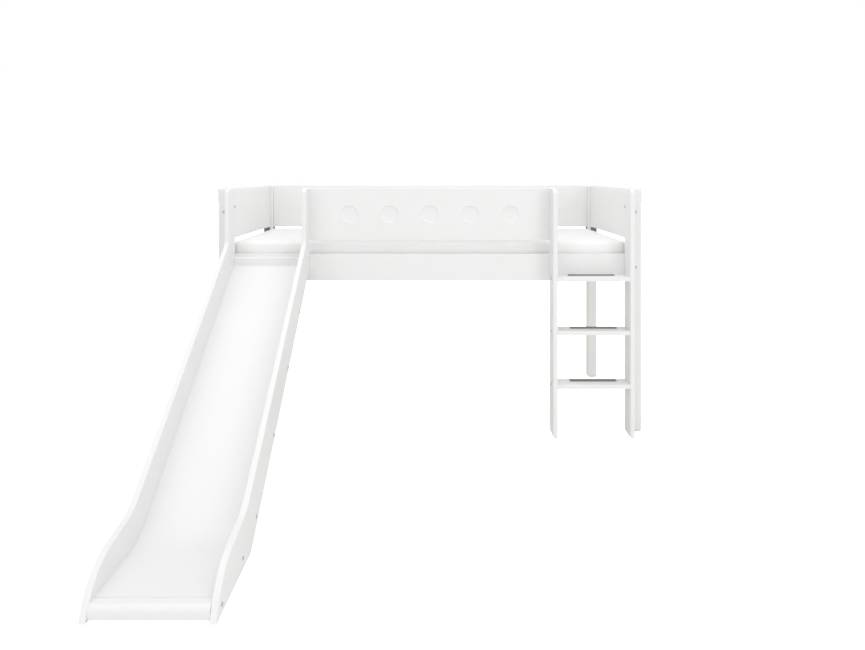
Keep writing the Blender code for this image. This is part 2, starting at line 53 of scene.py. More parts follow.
# Studio. A pale floor that runs on into a white surround, with a large soft box overhead and
# smaller ones in front and behind. The floor glows by itself, but only to the camera.
STUDIO_FLOOR_SIZE = 60.0
FLOOR_WHITE = 0.86
FLOOR_GLOW_NEAR = 0.80
FLOOR_GLOW_FAR = 1.1
FLOOR_GLOW_REACH = (1.2, 4.5)
SURROUND_SEEN = 1.0
SURROUND_LIGHT = 0.733

scene.view_settings.view_transform = "Standard"

camera_data = bpy.data.cameras.new("camera")
camera_data.sensor_width = 36.0
camera_data.lens = 29.11
camera_data.shift_y = -0.1728
camera_data.clip_end = 200.0
camera = bpy.data.objects.new("camera", camera_data)
camera.location = (0.0134, -3.21475, 1.269)
camera.rotation_euler = (math.radians(90), 0, 0)
scene.collection.objects.link(camera)
scene.camera = camera

surround = bpy.data.worlds.new("surround")
surround.use_nodes = True
scene.world = surround
surround_nodes = surround.node_tree.nodes
surround_links = surround.node_tree.links
surround_light = surround_nodes["Background"]
surround_light.inputs["Color"].default_value = (1, 1, 1, 1)
surround_light.inputs["Strength"].default_value = SURROUND_LIGHT
surround_seen = surround_nodes.new("ShaderNodeBackground")
surround_seen.inputs["Color"].default_value = (1, 1, 1, 1)
surround_seen.inputs["Strength"].default_value = SURROUND_SEEN
seen_or_light = surround_nodes.new("ShaderNodeMixShader")
light_path = surround_nodes.new("ShaderNodeLightPath")
surround_links.new(light_path.outputs["Is Camera Ray"], seen_or_light.inputs[0])
surround_links.new(surround_light.outputs[0], seen_or_light.inputs[1])
surround_links.new(surround_seen.outputs[0], seen_or_light.inputs[2])
surround_links.new(seen_or_light.outputs[0], surround_nodes["World Output"].inputs[0])


def soft_light(name, place, aim, size, power):
    """A square soft box that points at a place."""
    data = bpy.data.lights.new(name, "AREA")
    data.shape = "SQUARE"
    data.size = size
    data.energy = power
    light = bpy.data.objects.new(name, data)
    light.location = place
    light.rotation_euler = (Vector(aim) - Vector(place)).to_track_quat("-Z", "Y").to_euler()
    scene.collection.objects.link(light)


soft_light("overhead_light", (0.0, -0.6, 5.0), (0.0, -0.6, 0.0), 5.0, 80.0)
soft_light("front_light", (0.0, -7.0, 3.0), (0.0, 0.0, 0.6), 4.0, 12.0)
soft_light("front_right_light", (4.0, -6.0, 2.6), (0.0, 0.0, 0.7), 3.0, 70.0)
soft_light("front_left_light", (-4.0, -6.0, 2.6), (0.0, 0.0, 0.7), 3.0, 37.0)
soft_light("back_light", (0.0, 7.0, 3.0), (0.0, 0.0, 0.6), 4.0, 80.0)

floor_mesh = bpy.data.meshes.new("floor")
floor_shape = bmesh.new()
bmesh.ops.create_grid(floor_shape, x_segments=1, y_segments=1, size=STUDIO_FLOOR_SIZE / 2)
floor_shape.to_mesh(floor_mesh)
floor_shape.free()
floor = bpy.data.objects.new("floor", floor_mesh)
scene.collection.objects.link(floor)
floor_paint = bpy.data.materials.new("floor_paint")
floor_paint.use_nodes = True
floor_shader = floor_paint.node_tree.nodes["Principled BSDF"]
floor_shader.inputs["Base Color"].default_value = (FLOOR_WHITE, FLOOR_WHITE, FLOOR_WHITE, 1)
floor_shader.inputs["Roughness"].default_value = 0.9
floor_shader.inputs["Specular IOR Level"].default_value = 0.0
floor_shader.inputs["Emission Color"].default_value = (1, 1, 1, 1)
floor_nodes = floor_paint.node_tree.nodes
floor_links = floor_paint.node_tree.links
floor_place = floor_nodes.new("ShaderNodeTexCoord")
floor_distance = floor_nodes.new("ShaderNodeVectorMath")
floor_distance.operation = "LENGTH"
floor_links.new(floor_place.outputs["Object"], floor_distance.inputs[0])
floor_reach = floor_nodes.new("ShaderNodeMapRange")
floor_reach.inputs["From Min"].default_value = FLOOR_GLOW_REACH[0]
floor_reach.inputs["From Max"].default_value = FLOOR_GLOW_REACH[1]
floor_reach.inputs["To Min"].default_value = FLOOR_GLOW_NEAR
floor_reach.inputs["To Max"].default_value = FLOOR_GLOW_FAR
floor_links.new(floor_distance.outputs["Value"], floor_reach.inputs["Value"])
floor_glow = floor_nodes.new("ShaderNodeMath")
floor_glow.operation = "MULTIPLY"
floor_links.new(floor_reach.outputs[0], floor_glow.inputs[1])
floor_path = floor_nodes.new("ShaderNodeLightPath")
floor_links.new(floor_path.outputs["Is Camera Ray"], floor_glow.inputs[0])
floor_links.new(floor_glow.outputs[0], floor_shader.inputs["Emission Strength"])
floor_mesh.materials.append(floor_paint)


# Posts. Four square posts of planed solid wood in white satin lacquer, chamfered all round.
# The lacquer is sprayed: it lies in a fine ripple, and the wood's fibre shows through faintly.
class Value:
    """An output of a material's node, so that shader sums read as ordinary sums."""

    def __init__(self, finish, socket):
        self.finish = finish
        self.socket = socket

    def math(self, operation, first, second=0.0):
        return self.finish.node("ShaderNodeMath", {"operation": operation}, {0: first, 1: second})

    def __add__(self, other):
        return self.math("ADD", self, other)

    def __radd__(self, other):
        return self.math("ADD", other, self)

    def __sub__(self, other):
        return self.math("SUBTRACT", self, other)

    def __rsub__(self, other):
        return self.math("SUBTRACT", other, self)

    def __mul__(self, other):
        return self.math("MULTIPLY", self, other)

    def __rmul__(self, other):
        return self.math("MULTIPLY", other, self)

    def __pow__(self, other):
        return self.math("POWER", self, other)

    def __gt__(self, other):
        return self.math("GREATER_THAN", self, other)

    def sine(self):
        return self.math("SINE", self)

    def cosine(self):
        return self.math("COSINE", self)


class Finish:
    """A procedural material. Uniform values sit on the shader's own sockets."""

    def __init__(self, name, **uniform):
        self.material = bpy.data.materials.new(name)
        self.material.use_nodes = True
        self.tree = self.material.node_tree
        self.shader = self.tree.nodes["Principled BSDF"]
        for socket, value in uniform.items():
            self.feed(self.shader.inputs[socket.replace("_", " ")], value)

    def feed(self, socket, value):
        if isinstance(value, Value):
            self.tree.links.new(value.socket, socket)
        else:
            socket.default_value = value

    def node(self, kind, settings, sockets, output=0):
        made = self.tree.nodes.new(kind)
        for setting, value in settings.items():
            setattr(made, setting, value)
        for socket, value in sockets.items():
            self.feed(made.inputs[socket], value)
        return Value(self, made.outputs[output])

    def place(self, stretch=(1, 1, 1)):
        """Object coordinates, stretched along an axis where its number is small."""
        here = self.node("ShaderNodeTexCoord", {}, {}, "Object")
        return self.node("ShaderNodeMapping", {}, {"Vector": here, "Scale": stretch})

    def noise(self, vector, scale, detail=2.0, roughness=0.5):
        sockets = {"Vector": vector, "Scale": scale, "Detail": detail, "Roughness": roughness}
        return self.node("ShaderNodeTexNoise", {}, sockets)

    def axes(self, vector):
        split = self.node("ShaderNodeSeparateXYZ", {}, {0: vector})
        outputs = split.socket.node.outputs
        return Value(self, outputs[0]), Value(self, outputs[1]), Value(self, outputs[2])

    def blend(self, share, low, high):
        """A colour between two colours."""
        settings = {"data_type": "RGBA"}
        return self.node("ShaderNodeMix", settings, {0: share, 6: low, 7: high}, 2)

    def finish_with(self, colour, roughness, height, depth):
        """Connect what changes over the surface. Height times depth is in metres."""
        sockets = {"Height": height, "Distance": depth, "Strength": 1.0}
        bump = self.node("ShaderNodeBump", {}, sockets)
        self.feed(self.shader.inputs["Base Color"], colour)
        self.feed(self.shader.inputs["Roughness"], roughness)
        self.feed(self.shader.inputs["Normal"], bump)
        return self.material


LACQUER_WHITE = (0.865, 0.865, 0.862, 1)
LACQUER_SHADE = (0.845, 0.845, 0.840, 1)
LACQUER_ROUGHNESS = 0.40
FIBRE_STRETCH = 0.04


def lacquer(grain_axis):
    """White satin lacquer over a piece whose grain runs along one axis."""
    stretch = [1.0, 1.0, 1.0]
    stretch["XYZ".index(grain_axis)] = FIBRE_STRETCH
    finish = Finish("white_lacquer_" + grain_axis.lower(), IOR=1.48)
    fibre = finish.noise(finish.place(stretch), 260.0, 3.0, 0.6)
    ripple = finish.noise(finish.place(), 420.0, 1.0)
    cloud = finish.noise(finish.place(), 5.0, 3.0)
    colour = finish.blend(cloud * 0.7 + fibre * 0.3, LACQUER_SHADE, LACQUER_WHITE)
    roughness = LACQUER_ROUGHNESS + 0.08 * (cloud - 0.5) + 0.06 * (fibre - 0.5)
    return finish.finish_with(colour, roughness, fibre * 0.7 + ripple * 0.3, 0.00006)


LACQUER = {axis: lacquer(axis) for axis in "XYZ"}


def repaint(material, *nodes):
    """Give CAD nodes whose shape is right their finish."""
    for node in nodes:
        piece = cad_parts[node]
        for holder in piece.material_slots:
            holder.material = material


BED = "bed_frame"
ENDS = (("left", -1), ("right", 1))
ROWS = ("front", "back")
repaint(LACQUER["Z"], *[f"post_{row}_{end}" for row in ROWS for end, _ in ENDS])


# Glides. Round moulded plastic feet under the posts, with a round hollow in the middle of each.
MERGE_DISTANCE = 0.000002


def put_in_place(name, shape, material, stands_for=(), sharp=40.0):
    """Turn a finished bmesh into a piece of the bed, smooth except over sharp edges."""
    bmesh.ops.remove_doubles(shape, verts=shape.verts, dist=MERGE_DISTANCE)
    bmesh.ops.recalc_face_normals(shape, faces=shape.faces)
    mesh = bpy.data.meshes.new(name)
    shape.to_mesh(mesh)
    shape.free()
    mesh.materials.append(material)
    mesh.shade_smooth()
    mesh.set_sharp_from_angle(angle=math.radians(sharp))
    piece = bpy.data.objects.new(name, mesh)
    scene.collection.objects.link(piece)
    even = piece.modifiers.new("even_shading", "WEIGHTED_NORMAL")
    even.keep_sharp = True
    even.weight = 100
    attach(piece, BED)
    if stands_for:
        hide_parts(*stands_for)


def turned_shape(profile, steps):
    """A closed round shape on the Z axis, spun from (radius, height) points."""
    shape = bmesh.new()
    last = None
    for radius, height in profile:
        vert = shape.verts.new((radius, 0, height))
        if last:
            shape.edges.new((last, vert))
        last = vert
    bmesh.ops.spin(
        shape,
        geom=shape.verts[:] + shape.edges[:],
        cent=(0, 0, 0),
        axis=(0, 0, 1),
        angle=2 * math.pi,
        steps=steps,
        use_merge=True,
    )
    bmesh.ops.remove_doubles(shape, verts=shape.verts, dist=MERGE_DISTANCE)
    return shape


glide_finish = Finish("glide_plastic", IOR=1.49)
glide_speckle = glide_finish.noise(glide_finish.place(), 900.0)
glide_plastic = glide_finish.finish_with(
    glide_finish.blend(glide_speckle, (0.76, 0.76, 0.75, 1), (0.82, 0.82, 0.81, 1)),
    0.46 + 0.1 * glide_speckle,
    glide_speckle,
    0.00005,
)
for row in ROWS:
    for end, _ in ENDS:
        name = f"glide_{row}_{end}"
        low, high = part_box(name)
        radius = (high.x - low.x) / 2
        thick = high.z - low.z
        profile = [
            (0.0, thick),
            (radius, thick),
            (radius, 0.45 * thick),
            (0.975 * radius, 0.15 * thick),
            (0.93 * radius, 0.0),
            (0.30 * radius, 0.0),
            (0.24 * radius, 0.1 * thick),
            (0.18 * radius, 0.5 * thick),
            (0.0, 0.5 * thick),
        ]
        glide = turned_shape(profile, 40)
        middle = (low + high) / 2
        bmesh.ops.translate(glide, verts=glide.verts, vec=(middle.x, middle.y, low.z))
        put_in_place(f"moulded_{name}", glide, glide_plastic, [name])


# Rails and guards. Boards 22 mm thick in the same lacquer, with eased edges. Those along the
# bed run between the posts' inner sides, and those across it between their facing sides. The
# front guard has a row of shallow round dishes.
repaint(LACQUER["X"], "rail_front", "rail_back", "guard_back")
repaint(LACQUER["Y"], "rail_left", "rail_right", "guard_left", "guard_right")

DISH_COUNT = 5
DISH_SPACING = 0.2005
DISH_RADIUS = 0.043
DISH_DEPTH = 0.006
DISH_WALL = 0.004
DISH_LIP = 0.0008
DISH_FLOOR_RINGS = 10
CUTTER_RISE = 0.01
BOARD_EDGE = 0.002


def box_shape(low, high):
    """A plain block between two corners."""
    shape = bmesh.new()
    low = Vector(low)
    high = Vector(high)
    bmesh.ops.create_cube(shape, size=1.0)
    bmesh.ops.scale(shape, verts=shape.verts, vec=high - low)
    bmesh.ops.translate(shape, verts=shape.verts, vec=(low + high) / 2)
    return shape


def round_edges(shape, edges, radius, steps=3):
    bmesh.ops.bevel(
        shape,
        geom=list(edges),
        offset=radius,
        segments=steps,
        profile=0.5,
        affect="EDGES",
        material=-1,
    )


def carve(shape, cutters):
    """Cut shapes out of a shape, and return what is left as a new bmesh."""
    made = []
    for number, part in enumerate([shape, *cutters]):
        bmesh.ops.recalc_face_normals(part, faces=part.faces)
        mesh = bpy.data.meshes.new(f"carving_{number}")
        part.to_mesh(mesh)
        part.free()
        made.append(bpy.data.objects.new(f"carving_{number}", mesh))
        scene.collection.objects.link(made[-1])
    for cutter in made[1:]:
        cut = made[0].modifiers.new("cut", "BOOLEAN")
        cut.operation = "DIFFERENCE"
        cut.solver = "EXACT"
        cut.object = cutter
    bpy.context.view_layer.update()
    evaluated = made[0].evaluated_get(bpy.context.evaluated_depsgraph_get())
    left = bmesh.new()
    left.from_mesh(evaluated.to_mesh())
    for part in made:
        bpy.data.objects.remove(part, do_unlink=True)
    return left


guard_low, guard_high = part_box("guard_front")
guard = box_shape(guard_low, guard_high)
round_edges(guard, guard.edges, BOARD_EDGE)
floor_radius = DISH_RADIUS - DISH_WALL - DISH_LIP
floor_sag = DISH_DEPTH - DISH_WALL
floor_curve = (floor_radius**2 + floor_sag**2) / (2 * floor_sag)
dish_profile = [
    (0.0, CUTTER_RISE),
    (DISH_RADIUS + DISH_LIP, CUTTER_RISE),
    (DISH_RADIUS + DISH_LIP, 0.0),
    (DISH_RADIUS, -0.3 * DISH_LIP),
    (DISH_RADIUS - 0.35 * DISH_WALL, -0.3 * DISH_WALL),
    (DISH_RADIUS - 0.85 * DISH_WALL, -0.82 * DISH_WALL),
]
for ring in range(DISH_FLOOR_RINGS + 1):
    ring_radius = floor_radius * (1 - ring / DISH_FLOOR_RINGS)
    sag = math.sqrt(floor_curve**2 - ring_radius**2) - (floor_curve - floor_sag)
    dish_profile.append((ring_radius, -DISH_WALL - sag))
dishes = []
for number in range(DISH_COUNT):
    dish = turned_shape(dish_profile, 64)
    bmesh.ops.rotate(dish, verts=dish.verts, matrix=Matrix.Rotation(math.pi / 2, 3, "X"))
    dish_x = (number - (DISH_COUNT - 1) / 2) * DISH_SPACING
    dish_z = (guard_low.z + guard_high.z) / 2
    bmesh.ops.translate(dish, verts=dish.verts, vec=(dish_x, guard_low.y, dish_z))
    dishes.append(dish)
guard = carve(guard, dishes)
put_in_place(
    "dished_guard_front", guard, LACQUER["X"], ["guard_front"], sharp=24.0
)


# Corner plates. Flat steel plates in the open strips beside the back posts, with eased edges.
# Their dark grey
# # is painted shade: it stands in for the deep shade in those strips.
PLATE_EDGE = 0.0008

plate_finish = Finish("shade_painted_grey", IOR=1.5)
plate_grain = plate_finish.noise(plate_finish.place(), 1500.0, 2.0)
shade_plate_coat = plate_finish.finish_with(
    # dark grey painted shade for the strips beside the back posts, varied by a fine random grain
    plate_finish.blend(plate_grain, (0.15, 0.155, 0.16, 1), (0.20, 0.205, 0.21, 1)),
    0.45 + 0.15 * plate_grain,
    plate_grain,
    0.00008,
)
for place in ("end", "back"):
    for end, _ in ENDS:
        name = f"{place}_gap_plate_{end}"
        low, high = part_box(name)
        plate = box_shape(low, high)
        round_edges(plate, plate.edges, PLATE_EDGE, 2)
        put_in_place(f"shade_painted_{name}", plate, shade_plate_coat, [name])


# Slatted base. Twelve planed pine slats, unpainted, laid on a pine ledge along each long rail
# and held by one sunk screw at each end.
def pine(grain_axis, name):
    """Planed pine. Early and late wood lie in wavy bands along one axis."""
    finish = Finish(name, IOR=1.47)
    long_way = "XYZ".index(grain_axis)
    stretch = [1.0, 1.0, 1.0]
    stretch[long_way] = 0.05
    wander = finish.noise(finish.place(stretch), 14.0, 2.0)
    bands = [1.0, 1.0, 1.0]
    bands[long_way] = 0.02
    along = finish.place(bands)
    parts = finish.axes(along)
    across = parts[0] if grain_axis == "Y" else parts[1]
    ring = ((across + parts[2] * 0.7 + wander * 0.055) * 520.0).sine() * 0.5 + 0.5
    late = ring**3.0
    pores = finish.noise(finish.place([1 if a < 1 else 8 for a in stretch]), 60.0, 4.0, 0.7)
    spots = finish.node(
        "ShaderNodeTexVoronoi",
        {"feature": "F1"},
        {"Vector": finish.place([0.35 if a < 1 else 1 for a in stretch]), "Scale": 7.0},
    )
    knot = (1.0 - spots * 9.0) > 0.62
    wood = finish.blend(late * 0.75, (0.80, 0.62, 0.40, 1), (0.60, 0.37, 0.17, 1))
    wood = finish.blend(pores * 0.3, wood, (0.70, 0.50, 0.29, 1))
    wood = finish.blend(knot * 0.8, wood, (0.28, 0.14, 0.07, 1))
    return finish.finish_with(wood, 0.55 + 0.12 * late, late * 0.6 + pores * 0.4, 0.00012)


SLAT_COUNT = 12
slat_names = [f"slat_{number + 1:02d}" for number in range(SLAT_COUNT)]
repaint(pine("Y", "pine_slats"), *slat_names)
repaint(pine("X", "pine_ledges"), "slat_ledge_front", "slat_ledge_back")


# Bolts. Zinc-plated furniture bolts with flat domed heads and a hexagon socket. They hold the
# end boards to the posts, the uprights to the bed, and the slide and ladder together.
zinc_finish = Finish("zinc_plating", Metallic=1.0)
zinc_grain = zinc_finish.noise(zinc_finish.place(), 700.0, 3.0)
zinc_cloud = zinc_finish.noise(zinc_finish.place(), 160.0, 1.0)
ZINC = zinc_finish.finish_with(
    zinc_finish.blend(zinc_cloud, (0.52, 0.53, 0.55, 1), (0.66, 0.67, 0.68, 1)),
    0.34 + 0.16 * zinc_grain,
    zinc_grain,
    0.00003,
)
HEAD_RADIUS = 0.0075
HEAD_HEIGHT = 0.0028
SOCKET_ACROSS = 0.005
SOCKET_DEPTH = 0.75 * HEAD_HEIGHT
SHANK_RADIUS = 0.003
SIDES = 24
# the dome's rings, as shares of the head's radius and height
HEAD_RINGS = ((0.96, 0.35), (0.84, 0.68), (0.66, 0.90), (0.46, 1.0))


def drawn_out(shape, face, keep=False):
    """Extrude a face and return the new one. The old one goes, unless it closes the shape."""
    grown = bmesh.ops.extrude_face_region(shape, geom=[face])["geom"]
    if not keep:
        shape.faces.remove(face)
    return [part for part in grown if isinstance(part, bmesh.types.BMFace)][0]


def bolt_shape(place, outward, shank, size=1.0):
    """A bolt whose head sits on a face at a place and looks outward."""
    shape = bmesh.new()
    bmesh.ops.create_circle(shape, cap_ends=True, segments=SIDES, radius=HEAD_RADIUS)
    top = drawn_out(shape, shape.faces[:][0], keep=True)
    scaled = 1.0
    height = 0.0
    for ring_radius, ring_height in HEAD_RINGS:
        grow = ring_radius / scaled
        lift = (ring_height - height) * HEAD_HEIGHT
        bmesh.ops.scale(shape, verts=top.verts, vec=(grow, grow, 1))
        bmesh.ops.translate(shape, verts=top.verts, vec=(0, 0, lift))
        scaled = ring_radius
        height = ring_height
        top = drawn_out(shape, top)
    # the last ring is drawn in to a hexagon and sunk
    for vert in top.verts:
        turn = math.atan2(vert.co.y, vert.co.x)
        sector = math.remainder(turn, math.pi / 3)
        reach = SOCKET_ACROSS / 2 / math.cos(sector)
        vert.co.x = reach * math.cos(turn)
        vert.co.y = reach * math.sin(turn)
    top = drawn_out(shape, top)
    bmesh.ops.translate(shape, verts=top.verts, vec=(0, 0, -SOCKET_DEPTH))
    if shank:
        bottom = min(shape.faces, key=lambda f: f.calc_center_median().z)
        margin = HEAD_RADIUS - SHANK_RADIUS
        bmesh.ops.inset_individual(shape, faces=[bottom], thickness=margin)
        end = drawn_out(shape, bottom)
        bmesh.ops.translate(shape, verts=end.verts, vec=(0, 0, -shank))
    bmesh.ops.scale(shape, verts=shape.verts, vec=(size, size, size))
    turn = Vector(outward).to_track_quat("Z", "Y").to_matrix()
    bmesh.ops.rotate(shape, verts=shape.verts, matrix=turn)
    bmesh.ops.translate(shape, verts=shape.verts, vec=place)
    return shape


def set_of_bolts(name, places, outward, shank=0.0, size=1.0, stands_for=()):
    """Like bolts in one piece, each named place with its head on the face there."""
    together = bmesh.new()
    for place in places:
        one = bolt_shape(place, outward, shank, size)
        mesh = bpy.data.meshes.new("one")
        one.to_mesh(mesh)
        one.free()
        together.from_mesh(mesh)
        bpy.data.meshes.remove(mesh)
    put_in_place(name, together, ZINC, stands_for, sharp=35.0)


post_low, post_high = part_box("post_front_right")
front_face = post_low.y
post_x = (post_low.x + post_high.x) / 2
post_width = post_high.x - post_low.x
back_low, back_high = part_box("post_back_right")
back_face = back_high.y
back_y = (back_low.y + back_high.y) / 2
front_y = (post_low.y + post_high.y) / 2
rail_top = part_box("rail_front")[1].z
GUARD_BOLT_DROP = 0.116
RAIL_BOLT_DROP = 0.063
BOLT_GAP = 0.0003
guard_bolt_height = guard_high.z - GUARD_BOLT_DROP
rail_bolt_height = rail_top - RAIL_BOLT_DROP
for end, side in ENDS:
    for tier in ("guard", "rail"):
        name = f"post_bolt_{tier}_{end}"
        low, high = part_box(name)
        head = ((low.x + high.x) / 2, front_face - BOLT_GAP, (low.z + high.z) / 2)
        shank = high.y - front_face
        set_of_bolts(f"socket_{name}", [head], (0, -1, 0), shank, stands_for=[name])
    name = f"hang_bolt_{end}"
    low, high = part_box(name)
    head_x = low.x + HEAD_HEIGHT if side > 0 else high.x - HEAD_HEIGHT
    head = (head_x, (low.y + high.y) / 2, (low.z + high.z) / 2)
    shank = high.x - low.x - HEAD_HEIGHT
    set_of_bolts(f"socket_{name}", [head], (-side, 0, 0), shank, stands_for=[name])
    heights = (guard_bolt_height, rail_bolt_height)
    backs = [(side * post_x, back_face, height) for height in heights]
    set_of_bolts(f"back_post_bolts_{end}", backs, (0, 1, 0))
    outer_x = side * (post_x + post_width / 2)
    outsides = [(outer_x, back_y, height) for height in heights]
    outsides.append((outer_x, front_y, rail_bolt_height))
    set_of_bolts(f"long_board_bolts_{end}", outsides, (side, 0, 0))

SCREW_SIZE = 0.45  # of a bolt's
SCREW_INSET = 0.014
SCREW_SINK = 0.0011
slat_screws = []
for name in slat_names:
    low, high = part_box(name)
    for screw_y in (low.y + SCREW_INSET, high.y - SCREW_INSET):
        slat_screws.append(((low.x + high.x) / 2, screw_y, high.z - SCREW_SINK))
set_of_bolts("slat_screws", slat_screws, (0, 0, 1), size=SCREW_SIZE)


# Ladder. Two uprights that reach the floor, rounded at their top front corners, three steps
# let in between them and bolted through, and a strip of grit-faced rubber on each step.
UPRIGHT_ROUND = 0.030
STEP_EDGE = 0.003
FINE_STEP = math.radians(3)
FOOT_CHAMFER = (0.006, 0.008)  # width and height
STEP_COUNT = 3
GRIP_ROUND = 0.006
GRIP_TOP_ROUND = 0.001


def side_shape(corners, low_x, high_x):
    """A board cut to an outline of (Y, Z, corner radius) and given its thickness along X."""
    shape = bmesh.new()
    verts = [shape.verts.new((low_x, y, z)) for y, z, _ in corners]
    shape.faces.new(verts)
    count = len(corners)
    for number, (y, z, radius) in enumerate(corners):
        if radius <= 0:
            continue
        here = Vector((y, z))
        before = (Vector(corners[number - 1][:2]) - here).normalized()
        after = (Vector(corners[(number + 1) % count][:2]) - here).normalized()
        half = before.angle(after) / 2
        turn = math.pi - 2 * half
        bmesh.ops.bevel(
            shape,
            geom=[verts[number]],
            offset=radius / math.tan(half),
            offset_type="OFFSET",
            segments=max(2, round(turn / FINE_STEP)),
            profile=0.5,
            affect="VERTICES",
            material=-1,
        )
    far = drawn_out(shape, shape.faces[:][0], keep=True)
    bmesh.ops.translate(shape, verts=far.verts, vec=(high_x - low_x, 0, 0))
    rims = [e for e in shape.edges if abs(e.verts[0].co.x - e.verts[1].co.x) < 1e-6]
    round_edges(shape, rims, BOARD_EDGE)
    return shape


def chamfer_foot(shape, low, high):
    """Slice both long bottom edges off an upright, and close the cuts."""
    width, height = FOOT_CHAMFER
    for side, face_x in ((-1, low.x), (1, high.x)):
        cut = bmesh.ops.bisect_plane(
            shape,
            geom=shape.verts[:] + shape.edges[:] + shape.faces[:],
            dist=0.000001,
            plane_co=(face_x, 0, low.z + height),
            plane_no=(side * height, 0, -width),
            clear_outer=True,
        )
        rim = [part for part in cut["geom_cut"] if isinstance(part, bmesh.types.BMEdge)]
        bmesh.ops.holes_fill(shape, edges=rim)


for place in ("inner", "outer"):
    name = f"ladder_side_{place}"
    low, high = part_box(name)
    outline = [
        (high.y, low.z, 0.0),
        (low.y, low.z, 0.0),
        (low.y, high.z, UPRIGHT_ROUND),
        (high.y, high.z, 0.0),
    ]
    upright = side_shape(outline, low.x, high.x)
    chamfer_foot(upright, low, high)
    put_in_place(f"rounded_{name}", upright, LACQUER["Z"], [name])

rubber_finish = Finish("grip_rubber", IOR=1.5)
grit = rubber_finish.noise(rubber_finish.place(), 1400.0, 2.0, 0.7)
sparkle = rubber_finish.noise(rubber_finish.place(), 3000.0) > 0.66
grit_tone = grit * 0.7 + sparkle * 0.3
RUBBER = rubber_finish.finish_with(
    rubber_finish.blend(grit_tone, (0.15, 0.15, 0.155, 1), (0.34, 0.34, 0.345, 1)),
    0.70 + 0.2 * grit,
    grit,
    0.0004,
)
inner_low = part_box("ladder_side_inner")[0]
ladder_bolts = []
for number in range(STEP_COUNT):
    name = f"ladder_step_{number + 1}"
    low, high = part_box(name)
    step = box_shape(low, high)
    along = [e for e in step.edges if abs(e.verts[0].co.x - e.verts[1].co.x) > 0.1]
    round_edges(step, along, STEP_EDGE, 4)
    put_in_place(f"rounded_{name}", step, LACQUER["X"], [name])
    ladder_bolts.append(((low.y + high.y) / 2, (low.z + high.z) / 2))
    name = f"step_grip_{number + 1}"
    low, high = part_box(name)
    grip = box_shape(low, high)
    uprights = [e for e in grip.edges if abs(e.verts[0].co.z - e.verts[1].co.z) > 0.0005]
    round_edges(grip, uprights, GRIP_ROUND, 8)
    top_rim = [e for e in grip.edges if min(v.co.z for v in e.verts) > high.z - 0.0001]
    round_edges(grip, top_rim, GRIP_TOP_ROUND, 3)
    put_in_place(f"grit_{name}", grip, RUBBER, [name])
facing = [(inner_low.x, y, z) for y, z in ladder_bolts]
set_of_bolts("ladder_bolts_inner", facing, (-1, 0, 0))


# Slide. Two side boards of lacquered board, each one piece from its rounded upright down to
# the toe, grooved inside for the chute. A bent white sheet is the chute, over cross battens.
SIDE_REACH = post_low.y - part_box("slide_side_outer")[0].y
CHUTE_START = (0.0031, 0.8245)
CHUTE_LEVEL_RUN = 0.3705
CHUTE_KNEE = (SIDE_REACH - CHUTE_LEVEL_RUN, 0.045)
CHUTE_THICKNESS = 0.003
CHUTE_KNEE_RADIUS = 0.300
CHUTE_KNEE_STEPS = 16
GROOVE_SLACK = 0.0003
CHUTE_SLOPE = (CHUTE_START[1] - CHUTE_KNEE[1]) / (CHUTE_KNEE[0] - CHUTE_START[0])
CHUTE_ANGLE = math.atan(CHUTE_SLOPE)
WALL_RISE = (0.1715, 0.1525)
WALL_DROP = (0.0235, 0.0485)
TOE_LEAN = 0.518
TOE_SHOULDER = 0.1228
TOE_SLOPE = 0.163
TOE_ROUND = 0.180
KNEE_ROUND = 0.200
SHOULDER_ROUND = 0.040


def out_y(forward):
    """World Y of a distance in front of the posts."""
    return front_face - forward


def chute_height(forward):
    return CHUTE_START[1] - CHUTE_SLOPE * (forward - CHUTE_START[0])


def wall_edge(forward, offsets, sense):
    """Height of a side board's edge, whose distance to the chute changes evenly."""
    share = (forward - CHUTE_START[0]) / (CHUTE_KNEE[0] - CHUTE_START[0])
    return chute_height(forward) + sense * (offsets[0] * (1 - share) + offsets[1] * share)


def meet(first, first_slope, second, second_slope):
    """Where two lines cross, each given by a point and its rise per metre forward."""
    forward = second[1] - first[1] + first_slope * first[0] - second_slope * second[0]
    forward /= first_slope - second_slope
    return forward, first[1] + first_slope * (forward - first[0])


def chute_shape(low_x, high_x, grow):
    """The chute's sheet, drawn down the slope, bent round the knee and run out level."""
    cosine = math.cos(CHUTE_ANGLE)
    sine = math.sin(CHUTE_ANGLE)
    shape = bmesh.new()
    start = Vector((0, out_y(CHUTE_START[0] - grow), chute_height(CHUTE_START[0] - grow)))
    slope_out = Vector((0, -sine, -cosine))
    upper = start - slope_out * grow
    lower = start + slope_out * (CHUTE_THICKNESS + grow)
    corners = []
    for x, at in ((low_x, upper), (high_x, upper), (high_x, lower), (low_x, lower)):
        corners.append(shape.verts.new((x, at.y, at.z)))
    face = shape.faces.new(corners)
    bend = CHUTE_KNEE_RADIUS * math.tan(CHUTE_ANGLE / 2)
    run = (CHUTE_KNEE[0] - CHUTE_START[0] + grow) / cosine - bend
    down = Vector((0, -cosine, -sine)) * run
    face = drawn_out(shape, face, keep=True)
    bmesh.ops.translate(shape, verts=face.verts, vec=down)
    centre = (0, out_y(CHUTE_KNEE[0] + bend), CHUTE_KNEE[1] + CHUTE_KNEE_RADIUS)
    turned = bmesh.ops.spin(
        shape,
        geom=[face],
        cent=centre,
        axis=(1, 0, 0),
        angle=-CHUTE_ANGLE,
        steps=CHUTE_KNEE_STEPS,
    )["geom_last"]
    end_face = [part for part in turned if isinstance(part, bmesh.types.BMFace)][0]
    shape.faces.remove(face)
    nose_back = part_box("slide_nose")[1].y
    for vert in drawn_out(shape, end_face).verts:
        vert.co.y = nose_back + GROOVE_SLACK - grow
    return shape


